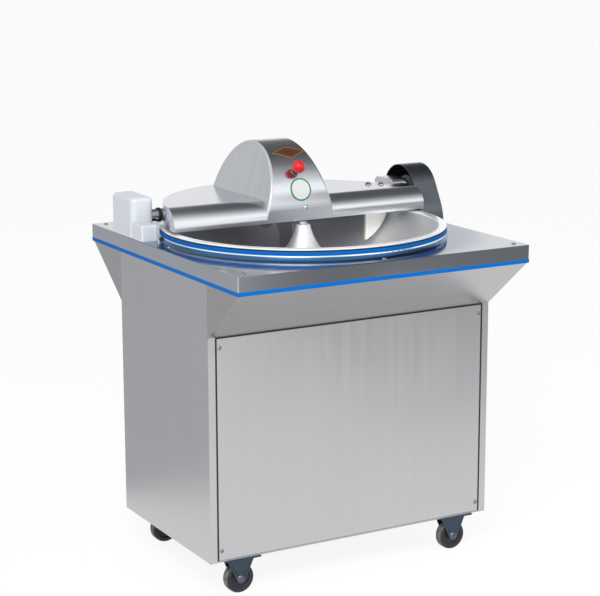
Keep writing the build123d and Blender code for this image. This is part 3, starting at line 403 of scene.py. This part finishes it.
# Table top and collar: bright rolled sheet, folded down into an apron, with a pressed ring for the bowl.
# The pan stands on the frame tubes. The collar is welded on round the hole, and both steels carry painted dark-blue
# shade round it.
def tint(material, mask, colour):
    """Lays a second colour over a finish where the mask is."""
    tree = material.node_tree
    base = tree.nodes["Principled BSDF"].inputs["Base Color"]
    layers = {"Factor": mask, "A": base.links[0].from_socket, "B": (*colour, 1)}
    tree.links.new(node(tree, "ShaderNodeMix", layers, data_type="RGBA").outputs["Result"], base)


def spot_on(material):
    """Object coordinates of a finish, as three numbers."""
    place = material.node_tree.nodes["Texture Coordinate"].outputs["Object"]
    return node(material.node_tree, "ShaderNodeSeparateXYZ", {0: place}).outputs


def soften(width, *names):
    """Breaks the sharp edges of CAD nodes, so that they catch the light."""
    for name in names:
        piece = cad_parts[name]
        weld = piece.modifiers.new("weld", "WELD")
        weld.merge_threshold = 0.00001
        edge = piece.modifiers.new("edge", "BEVEL")
        edge.width = width
        edge.segments = 2
        edge.limit_method = "ANGLE"
        edge.angle_limit = radians(40)
        edge.harden_normals = True


painted_shade_blue = (0.06, 0.11, 0.2)
painted_shade_share = 0.7
blue_start, blue_full = 0.43, 0.34
blue_low, blue_high = 0.7145, 0.7165
table_edge = 0.0008
table_bright = steel("table_bright", (0.48, 0.505, 0.55), 0.12, level_grain, contrast=0.12, spread=0.08)
table_tree = table_bright.node_tree
table_spot = spot_on(table_bright)
# Painted shade: the table's top turns dark blue in a ring round the collar.
table_reach = axis_distance(table_tree, calc(table_tree, "SUBTRACT", table_spot[0], middle_x), table_spot[1])
painted_shade_ring = calc(table_tree, "MULTIPLY", ramp(table_tree, table_reach, blue_start, blue_full),
             ramp(table_tree, table_spot[2], blue_low, blue_high))
tint(table_bright, calc(table_tree, "MULTIPLY", painted_shade_ring, painted_shade_share), painted_shade_blue)
dress(table_bright, "table_top")
soften(table_edge, "table_top")
# Painted shade and highlight: the collar's steel is dark blue, with a near-white band along its top edge.
highlight_low, highlight_high = 0.7238, 0.7246
collar_painted_shade = steel("collar_painted_shade", (0.05, 0.13, 0.26), 0.16, level_grain, contrast=0.2, spread=0.1)
collar_top_highlight = ramp(collar_painted_shade.node_tree, spot_on(collar_painted_shade)[2], highlight_low, highlight_high)
tint(collar_painted_shade, collar_top_highlight, (0.85, 0.87, 0.9))
dress(collar_painted_shade, "bowl_collar")

# Trims: blue plastic strip pressed in under the apron and round the collar.
# It is extruded in one colour and cut to length.
trim_plastic = skin("trim_plastic", (0.0, 0.104, 0.38), 0.5, mottle=0.05, Specular_IOR_Level=0.05)
dress(trim_plastic, "apron_trim", "collar_trim")


# Screws: domed cross-head screws round the table's edge and at the corners of both sheets.
# Steel, a little dull and coloured darker as painted shade round each head, driven into the frame tubes.
def cross_head(radius, rise):
    """Mesh of a domed screw head with a cross recess, standing on the origin."""
    dome = bmesh.new()
    bmesh.ops.create_uvsphere(dome, u_segments=24, v_segments=16, radius=1)
    bmesh.ops.scale(dome, vec=(radius, radius, rise), verts=dome.verts)
    cuts = [((0, 0, 0), (0, 0, 1), True)]
    slot, arm, depth = radius * 0.13, radius * 0.58, rise * 0.5
    for reach in (slot, arm):
        for way in ((1, 0, 0), (0, 1, 0), (-1, 0, 0), (0, -1, 0)):
            cuts.append((Vector(way) * reach, way, False))
    for place, way, clear in cuts:
        geom = dome.verts[:] + dome.edges[:] + dome.faces[:]
        bmesh.ops.bisect_plane(dome, geom=geom, plane_co=place, plane_no=way, clear_inner=clear)
    floor_faces = []
    for face in dome.faces:
        centre = face.calc_center_median()
        near, far = sorted((abs(centre.x), abs(centre.y)))
        if near < slot and far < arm:
            floor_faces.append(face)
    sunk = bmesh.ops.extrude_face_region(dome, geom=floor_faces)["geom"]
    low = [part for part in sunk if isinstance(part, bmesh.types.BMVert)]
    bmesh.ops.translate(dome, vec=(0, 0, -depth), verts=low)
    bmesh.ops.delete(dome, geom=floor_faces, context="FACES")
    return finished("cross_head", dome)


def scatter(shape, mesh, spots):
    """Adds a copy of a mesh made on the origin at each spot, given as a place and an axis."""
    for place, axis in spots:
        turned = Vector((0, 0, 1)).rotation_difference(Vector(axis)).to_matrix().to_4x4()
        spot = Matrix.Translation(place) @ turned
        mesh.transform(spot)
        shape.from_mesh(mesh)
        mesh.transform(spot.inverted())


even_grain = (400.0, 400.0, 400.0)
# Painted shade: the heads' steel is darker than the sheets round them.
screw_steel_shaded = steel("screw_steel_shaded", (0.34, 0.34, 0.35), 0.24, even_grain, contrast=0.3)
screw_radius, screw_rise = 0.005, 0.0025
table_z, table_screw_x, table_screw_y = 0.717, 0.326, 0.335
front_sheet, back_sheet = -0.218, 0.209
sheet_screw_x, sheet_screw_low, sheet_screw_top = 0.3205, 0.107, 0.543
screw_spots = [((middle_x + x, y, table_z), (0, 0, 1))
               for x in (-table_screw_x, 0, table_screw_x) for y in (-table_screw_y, 0, table_screw_y)
               if (x, y) != (0, 0)]
for sheet_y, out in ((front_sheet, -1), (back_sheet, 1)):
    screw_spots += [((middle_x + x, sheet_y, z), (0, out, 0))
                    for x in (-sheet_screw_x, sheet_screw_x) for z in (sheet_screw_low, sheet_screw_top)]
shape = bmesh.new()
scatter(shape, cross_head(screw_radius, screw_rise), screw_spots)
screws = mesh_piece("screw_heads", shape, screw_steel_shaded)
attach(screws, "cabinet")
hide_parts("cabinet_screws")


# Casters: pressed forks with bluish lacquer, riveted axles and solid rubber wheels, under the floor plate.
# The tyres are moulded on, black at the sides and worn grey where they roll.
def lathe(points, middle, axis, steps=48):
    """Spins a profile of (radius, along) points full circle round an axis."""
    shape = bmesh.new()
    middle, axis = Vector(middle), Vector(axis).normalized()
    out = axis.orthogonal().normalized()
    ring = [shape.verts.new(middle + out * radius + axis * along) for radius, along in points]
    for first, second in zip(ring, ring[1:]):
        shape.edges.new((first, second))
    bmesh.ops.spin(shape, geom=shape.verts[:] + shape.edges[:], cent=middle, axis=axis, angle=2 * pi, steps=steps,
                   use_merge=True)
    bmesh.ops.remove_doubles(shape, verts=shape.verts, dist=0.000001)
    bmesh.ops.recalc_face_normals(shape, faces=shape.faces)
    return shape


def arc(middle, radius, start, end, steps):
    """Points of a round stretch of a profile, from one angle to another in degrees."""
    turns = [radians(start + (end - start) * step / steps) for step in range(steps + 1)]
    return [(middle[0] + radius * cos(turn), middle[1] + radius * sin(turn)) for turn in turns]


def mirrored(half):
    """Profile of both halves of a turned part that is the same at both ends."""
    return half + [(radius, -along) for radius, along in reversed(half)]


wheel_radius = 0.0325
wear_start, wear_full = 0.0305, 0.0323
wear_grey, wear_dulling = (0.15, 0.15, 0.145, 1), 0.35
tyre_bump = 0.1


def wheel_finish(name, centre):
    """Rubber that turns pale and dull on the tread, by its distance from the axle."""
    material, tree = fresh_material(name, Specular_IOR_Level=0.35)
    place = node(tree, "ShaderNodeTexCoord").outputs["Object"]
    spoke = node(tree, "ShaderNodeVectorMath", {0: place, 1: centre}, operation="SUBTRACT").outputs[0]
    flat = node(tree, "ShaderNodeVectorMath", {0: spoke, 1: (1, 0, 1)}, operation="MULTIPLY").outputs[0]
    reach = node(tree, "ShaderNodeVectorMath", {0: flat}, operation="LENGTH").outputs["Value"]
    values = {"Surface": place, "Colour": (0.016, 0.016, 0.018, 1), "Mottle": 0.4, "Roughness": 0.42, "Grain": 500.0}
    look = node(tree, "ShaderNodeGroup", values, node_tree=skin_group).outputs
    patch = ramp(tree, noise(tree, place, 90.0, 3.0), none=0.25, full=0.6)
    worn = calc(tree, "MULTIPLY", ramp(tree, reach, wear_start, wear_full), patch)
    layers = {"Factor": worn, "A": look["Colour"], "B": wear_grey}
    dust = node(tree, "ShaderNodeMix", layers, data_type="RGBA").outputs["Result"]
    dull = calc(tree, "ADD", look["Roughness"], calc(tree, "MULTIPLY", worn, wear_dulling))
    coat(tree, dust, dull, look["Height"], tyre_bump, peel_depth)
    return material


fork_lacquer = steel("fork_lacquer", (0.06, 0.082, 0.112), 0.42, (300.0, 300.0, 300.0), contrast=0.5, spread=0.3)
rivet_steel = steel("rivet_steel", (0.11, 0.13, 0.16), 0.34, even_grain, contrast=0.3)
fork_edge = 0.0007
caster_x, caster_front, caster_back = 0.27, -0.193, 0.172
caster_spots = {"front_left": (-caster_x, caster_front), "front_right": (caster_x, caster_front),
                "rear_left": (-caster_x, caster_back), "rear_right": (caster_x, caster_back)}
# Half of the wheel's profile, from its bore out: hub, web, the groove at the tyre's foot, flank and round shoulder.
half_wheel = [(0.0055, 0.0113), (0.0110, 0.0113), (0.0115, 0.0108), (0.0118, 0.0082), (0.0205, 0.0080)]
half_wheel += arc((0.0222, 0.0092), 0.0012, 225, 135, 3) + [(0.0228, 0.0110), (0.0262, 0.0110)]
half_wheel += arc((0.0275, 0.0060), 0.0050, 90, 0, 8)
wheel_profile = mirrored(half_wheel)
wheel_profile += wheel_profile[:1]
rivet_reach, rivet_rise, rivet_dome = 0.0148, 0.0045, 0.0113
rivet_head, rivet_stem = 0.0090, 0.0050
half_rivet = [(0.0, rivet_reach + rivet_rise)]
half_rivet += arc((0.0, rivet_reach + rivet_rise - rivet_dome), rivet_dome, 78, 37, 6)
half_rivet += [(rivet_head, rivet_reach), (rivet_stem, rivet_reach)]
rivets = bmesh.new()
for place, (wheel_x, wheel_y) in caster_spots.items():
    dress(fork_lacquer, "caster_fork_" + place)
    soften(fork_edge, "caster_fork_" + place)
    hub = Vector((middle_x + wheel_x, wheel_y, wheel_radius))
    wheel = mesh_piece("tyre_" + place, lathe(wheel_profile, hub, (0, 1, 0), 64),
                       wheel_finish("tyre_rubber_" + place, hub))
    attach(wheel, "wheel_" + place)
    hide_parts("wheel_" + place)
    rivets.from_mesh(finished("axle_rivet", lathe(mirrored(half_rivet), hub, (0, 1, 0), 32)))
axle_rivets = mesh_piece("axle_rivets", rivets, rivet_steel)
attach(axle_rivets, "cabinet")
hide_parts("caster_axles")

# Bowl: a ring trough round a cone, spun from stainless sheet and ground inside, with a polished rolled lip.
# It sits on the spindle under the cone and is held by one bolt.
turned_grain = (900.0, 0.0, 900.0)
bowl_middle = (middle_x, 0.0, 0.0)
bowl_satin = steel("bowl_satin", (0.66, 0.665, 0.68), 0.36, turned_grain, contrast=0.22, centre=bowl_middle,
                   metallic=0.72)
# The rolled lip is polished, and its steel is lighter than the bowl's as a painted highlight.
lip_polish_and_highlight = steel("lip_polish_and_highlight", (0.86, 0.87, 0.88), 0.2, turned_grain, contrast=0.1, spread=0.1,
                   centre=bowl_middle, metallic=0.55)
bowl_radius, bowl_mouth, bowl_bore, bowl_wall = 0.315, 0.296, 0.0054, 0.003
rim_top, rim_low, lip_round, lip_play = 0.741, 0.737, 0.0019, 0.0001
cone_top = 0.738
trough_circle, trough_radius, trough_axis = 0.14805, 0.13608, 0.768
trough_low = trough_axis - trough_radius
wall_reach = bowl_mouth - trough_circle
wall_rise = rim_low - trough_low
wall_radius = (wall_rise ** 2 + wall_reach ** 2) / (2 * wall_rise)
wall_axis = trough_low + wall_radius
wall_turn = degrees(asin(wall_reach / wall_radius))
cone_turn = degrees(acos((trough_axis - cone_top) / trough_radius))
under_turn = degrees(acos((trough_axis - cone_top + bowl_wall) / (trough_radius + bowl_wall)))
inner = [(bowl_bore, cone_top)]
inner += arc((trough_circle, trough_axis), trough_radius, 270 - cone_turn, 270, 18)
inner += arc((trough_circle, wall_axis), wall_radius, 270, 270 + wall_turn, 18)[1:]
lip = arc((bowl_mouth + lip_round, rim_top - lip_round), lip_round, 180, 90, 5)
lip += arc((bowl_radius - lip_round, rim_top - lip_round), lip_round, 90, -90, 9)
outer = arc((trough_circle, wall_axis), wall_radius + bowl_wall, 270 + wall_turn, 270, 18)
outer += arc((trough_circle, trough_axis), trough_radius + bowl_wall, 270, 270 - under_turn, 18)[1:]
outer += [(bowl_bore, cone_top - bowl_wall), (bowl_bore, cone_top)]
shape = lathe(inner + lip + outer, bowl_middle, (0, 0, 1), 160)
for face in shape.faces:
    centre = face.calc_center_median()
    reach = Vector((centre.x - middle_x, centre.y)).length
    if reach > bowl_mouth - lip_play and centre.z > rim_low - lip_play:
        face.material_index = 1
bowl = mesh_piece("bowl_spun", shape, bowl_satin, lip_polish_and_highlight)
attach(bowl, "bowl")
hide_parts("bowl")
bolt_bright = steel("bolt_bright", (0.66, 0.66, 0.67), 0.22, even_grain, contrast=0.2)
dress(bolt_bright, "bowl_bolt")

# Shadow ring: a black ring under the bowl's rolled lip, just clear of the blue strip.
# It is painted shadow, standing for the dark gap between the lip and the collar.
shadow_inner, shadow_outer = 0.309, 0.3149
shadow_under, shadow_upper, shadow_chamfer = 0.7354, 0.7371, 0.0003
lip_shadow_profile = [(shadow_inner, shadow_upper), (shadow_outer, shadow_upper), (shadow_outer, shadow_under + shadow_chamfer),
                    (shadow_outer - shadow_chamfer, shadow_under), (shadow_inner, shadow_under), (shadow_inner, shadow_upper)]
lip_shadow_ring = mesh_piece("lip_shadow_ring", lathe(lip_shadow_profile, bowl_middle, (0, 0, 1), 160), black_plastic)
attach(lip_shadow_ring, "bowl")

# Drive: cast gearbox and pulleys, enamelled motor, rubber belts, bronze worm wheel, bright shafts.
# All of it hangs in the cabinet or stands on its floor, out of sight.
cast_iron = skin("cast_iron", (0.12, 0.125, 0.13), 0.55, mottle=0.4, grain=600.0, bump=0.2, Metallic=0.6)
dress(cast_iron, "gearbox_case", "motor_pulley", "worm_drive_pulley", "worm_pulley", "knife_pulley")
motor_enamel = skin("motor_enamel", (0.06, 0.12, 0.2), 0.35, mottle=0.2)
dress(motor_enamel, "motor")
belt_rubber = skin("belt_rubber", (0.015, 0.015, 0.016), 0.6, mottle=0.5, grain=700.0, bump=0.15)
dress(belt_rubber, "knife_belt", "worm_belt")
bronze = steel("bronze", (0.5, 0.3, 0.11), 0.3, (500.0, 500.0, 500.0))
dress(bronze, "worm_wheel")
shaft_bright = steel("shaft_bright", (0.58, 0.58, 0.6), 0.2, (700.0, 30.0, 30.0))
dress(shaft_bright, "knife_shaft", "knife_spacers", "motor_shaft", "worm_shaft", "bowl_spindle", "hinge_pin",
      "spindle_bearing", "knife_bearings", "scraper_bracket")

# Knives: ground sickle blades on the shaft, clamped by a nut.
# Each is cut from plate and ground to a bevel along its round edge.
blade_ground = steel("blade_ground", (0.6, 0.6, 0.62), 0.16, (30.0, 500.0, 500.0), contrast=0.2)
dress(blade_ground, "knife_1", "knife_2", "knife_3")
dress(bolt_bright, "knife_nut")

# Bearing housing: a polished stainless block beside the bowl, with the sleeve of the knife shaft.
# It is bolted down from inside the cabinet.
block_bright = steel("block_bright", (0.66, 0.67, 0.68), 0.24, level_grain, contrast=0.12)
dress(block_bright, "bearing_housing")

# Belt guard: rolled sheet, standing at the right of the cabinet, coloured dark as a painted reflection of dark
# surroundings.
# Its band is welded to the flat cheek, open towards the machine.
guard_dark_reflection = steel("guard_dark_reflection", (0.135, 0.15, 0.168), 0.36, upright_grain, contrast=0.35, spread=0.3)
dress(guard_dark_reflection, "belt_guard")

# Hood: welded stainless sheet, ground smooth and polished along its length.
# It swings up on the hinge arm at its left.
hood_polish = steel("hood_polish", (0.63, 0.65, 0.69), 0.19, level_grain, contrast=0.2)
dress(hood_polish, "hood")

# Arch fastenings: a large and a small domed cross-head screw below the badge.
# Bright steel, driven into the arch's front.
arch_axis = Vector((middle_x, 0.15, 0.772))
arch_radius = 0.13908


def on_arch(x, angle, lift):
    """Point on the arch's round front: across, up round it from the front in radians, and off its face."""
    reach = arch_radius + lift
    return arch_axis + Vector((x, -reach * cos(angle), reach * sin(angle)))


seat_sink = 0.0001
large_radius, large_rise, large_x, large_angle = 0.0062, 0.0038, 0.014, 0.007
small_radius, small_rise, small_x, small_z = 0.0016, 0.0008, 0.045, 0.761
small_place = (middle_x + small_x, arch_axis.y - arch_radius, small_z)
shape = bmesh.new()
scatter(shape, cross_head(large_radius, large_rise), [(on_arch(large_x, large_angle, -seat_sink), (0, -1, 0))])
scatter(shape, cross_head(small_radius, small_rise), [(small_place, (0, -1, 0))])
arch_screws = mesh_piece("arch_screws", shape, bolt_bright)
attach(arch_screws, "hood")

# Badge: a round white plate with a raised green rim, bent to the arch and glued on.
# Stamped aluminium, enamelled, with nothing on its face.
badge_white = skin("badge_white", (0.5, 0.51, 0.5), 0.3, mottle=0.06)
badge_green = skin("badge_green", (0.0, 0.17, 0.085), 0.3, mottle=0.15)
badge_x, badge_angle, badge_radius = 0.004, radians(17.3), 0.0255
badge_face, badge_edge, badge_rim = 0.0008, 0.0009, 0.0013
badge_sides = 64


def arch_plate(outline, centre_x, centre_angle, steps):
    """Thin plate on the arch: steps give each ring's share of the outline, its lift and its material."""
    shape = bmesh.new()
    rings, loops = [], []
    for share, lift, finish in steps:
        ring = [shape.verts.new(on_arch(centre_x + share * x, centre_angle + share * s / arch_radius, lift))
                for x, s in outline]
        rings.append(ring)
        loops.append([shape.edges.new((ring[spot - 1], ring[spot])) for spot in range(len(ring))])
    for inner_loop, outer_loop, (share, lift, finish) in zip(loops, loops[1:], steps[1:]):
        for face in bmesh.ops.bridge_loops(shape, edges=inner_loop + outer_loop)["faces"]:
            face.material_index = finish
    bmesh.ops.contextual_create(shape, geom=rings[0])
    bmesh.ops.recalc_face_normals(shape, faces=shape.faces)
    if shape.faces[0].normal.y > 0:
        bmesh.ops.reverse_faces(shape, faces=shape.faces)
    return shape


badge_turns = [2 * pi * step / badge_sides for step in range(badge_sides)]
disc = [(badge_radius * cos(turn), badge_radius * sin(turn)) for turn in badge_turns]
badge_rings = [(share, badge_face, 0) for share in (0.02, 0.2, 0.4, 0.6, 0.8, 0.87)]
badge_rings += [(0.885, badge_rim, 1), (0.965, badge_rim, 1), (1.0, badge_edge, 1), (1.0, -seat_sink, 1)]
badge = mesh_piece("badge", arch_plate(disc, badge_x, badge_angle, badge_rings), badge_white, badge_green)
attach(badge, "hood")

# Diamond plate: an amber-brown plate with a raised border, bent over the top of the arch.
# Stamped brass under brown lacquer, held by its glue, with nothing on its face.
plate_amber = steel("plate_amber", (0.1, 0.036, 0.012), 0.42, (60.0, 60.0, 60.0), contrast=0.6, spread=0.3,
                    metallic=0.35)
plate_border = steel("plate_border", (0.22, 0.095, 0.03), 0.36, (200.0, 200.0, 200.0), contrast=0.4, metallic=0.35)
plate_x, plate_angle = 0.005, radians(57.5)
plate_half_width, plate_half_height = 0.041, 0.02
plate_face, plate_edge, plate_rim = 0.0007, 0.0008, 0.0012
side_steps = 12
corners = [(plate_half_width, 0), (0, plate_half_height), (-plate_half_width, 0), (0, -plate_half_height)]
diamond = []
for (x0, s0), (x1, s1) in zip(corners, corners[1:] + corners[:1]):
    diamond += [(x0 + (x1 - x0) * step / side_steps, s0 + (s1 - s0) * step / side_steps)
                for step in range(side_steps)]
diamond_rings = [(share, plate_face, 0) for share in (0.02, 0.25, 0.5, 0.74, 0.86)]
diamond_rings += [(0.88, plate_rim, 1), (0.96, plate_rim, 1), (1.0, plate_edge, 1), (1.0, -seat_sink, 1)]
diamond_plate = mesh_piece("diamond_plate", arch_plate(diamond, plate_x, plate_angle, diamond_rings),
                           plate_amber, plate_border)
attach(diamond_plate, "hood")

# Knob: a red moulded ball on a steel seat, screwed through the arch.
# The hood is lifted by it.
knob_red = skin("knob_red", (0.52, 0.008, 0.012), 0.14, mottle=0.1)
knob_angle = radians(35)
knob_axis = Vector((0, -cos(knob_angle), sin(knob_angle)))
knob_foot = arch_axis + knob_axis * arch_radius
knob_radius, knob_reach, knob_neck = 0.0145, 0.02, 0.0058
stud_radius, stud_depth = 0.004, 0.006
seat_bore, seat_radius, seat_foot, seat_top = 0.0042, 0.0095, -0.0002, 0.0034
neck_gap = 0.0002
neck_turn = degrees(asin(knob_neck / knob_radius))
ball = [(0.0, -stud_depth), (stud_radius, -stud_depth), (stud_radius, seat_top), (knob_neck, seat_top + neck_gap)]
ball += arc((0.0, knob_reach), knob_radius, -90 + neck_turn, 90, 26)
knob = mesh_piece("knob_ball", lathe(ball, knob_foot, knob_axis), knob_red)
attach(knob, "hood")
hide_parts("knob")
# This dark steel is also on the knob's seat, as painted shade under the ball.
bolt_dark_and_shade = steel("bolt_dark_and_shade", (0.15, 0.155, 0.16), 0.28, even_grain, contrast=0.3)
seat = [(seat_bore, seat_foot), (seat_radius, seat_foot), (seat_radius, 0.0018), (0.0086, 0.0028),
        (0.0062, seat_top), (seat_bore, seat_top), (seat_bore, seat_foot)]
knob_seat = mesh_piece("knob_seat", lathe(seat, knob_foot, knob_axis), bolt_dark_and_shade)
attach(knob_seat, "hood")

# Hinge arm: a bright bar from the hood's left wall into the white cover, with a black rubber collar.
# The collar is pushed on against the wall of the hood.
arm_bright = steel("arm_bright", (0.5, 0.5, 0.52), 0.2, (30.0, 700.0, 700.0))
dress(arm_bright, "hood_arm")
arm_spot = (middle_x - 0.2775, 0.165, 0.759)
collar_bore, collar_groove, collar_ridge = 0.0137, 0.0148, 0.0158
collar_length, collar_rib, rib_count = 0.0085, 0.0028, 3
collar_profile = [(collar_bore, 0.0), (collar_groove, 0.0)]
for rib in range(rib_count):
    collar_profile += [(collar_ridge, collar_rib * (rib + 0.35)), (collar_ridge, collar_rib * (rib + 0.65)),
                       (collar_groove, collar_rib * (rib + 1))]
collar_profile += [(collar_bore, collar_length), (collar_bore, 0.0)]
arm_collar = mesh_piece("arm_collar", lathe(collar_profile, arm_spot, (1, 0, 0)), black_plastic)
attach(arm_collar, "hood")

# White covers over the hinge and the switch cable: thin plastic mouldings set down on the table.
# The taller one has the slot of the arm.
cover_white = skin("cover_white", (0.5, 0.525, 0.565), 0.34, mottle=0.05)
dress(cover_white, "hinge_cover", "cable_cover")

# Scraper: a cream nylon plate on a bent bracket, bolted under the right wing of the hood.
# Two hexagon bolts hold it, on plain washers.
nylon = skin("nylon", (0.9, 0.89, 0.84), 0.5, mottle=0.12)
dress(nylon, "scraper")
dress(bolt_dark_and_shade, "scraper_bolts")
wing_top = 0.793
washer_bore, washer_radius, washer_top, washer_chamfer = 0.0061, 0.0088, 0.0012, 0.0003
washer = [(washer_bore, 0.0), (washer_radius, 0.0), (washer_radius, washer_top - washer_chamfer),
          (washer_radius - washer_chamfer, washer_top), (washer_bore, washer_top), (washer_bore, 0.0)]
washers = bmesh.new()
for bolt_x, bolt_y in ((0.24523, 0.12608), (0.27036, 0.11064)):
    washers.from_mesh(finished("washer", lathe(washer, (middle_x + bolt_x, bolt_y, wing_top), (0, 0, 1), 40)))
bolt_washers = mesh_piece("bolt_washers", washers, bolt_bright)
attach(bolt_washers, "hood")

# Switch and cable gland: black plastic mouldings.
# The switch stands under the cover, and the gland is screwed into the back sheet.
dress(black_plastic, "limit_switch", "cable_gland")
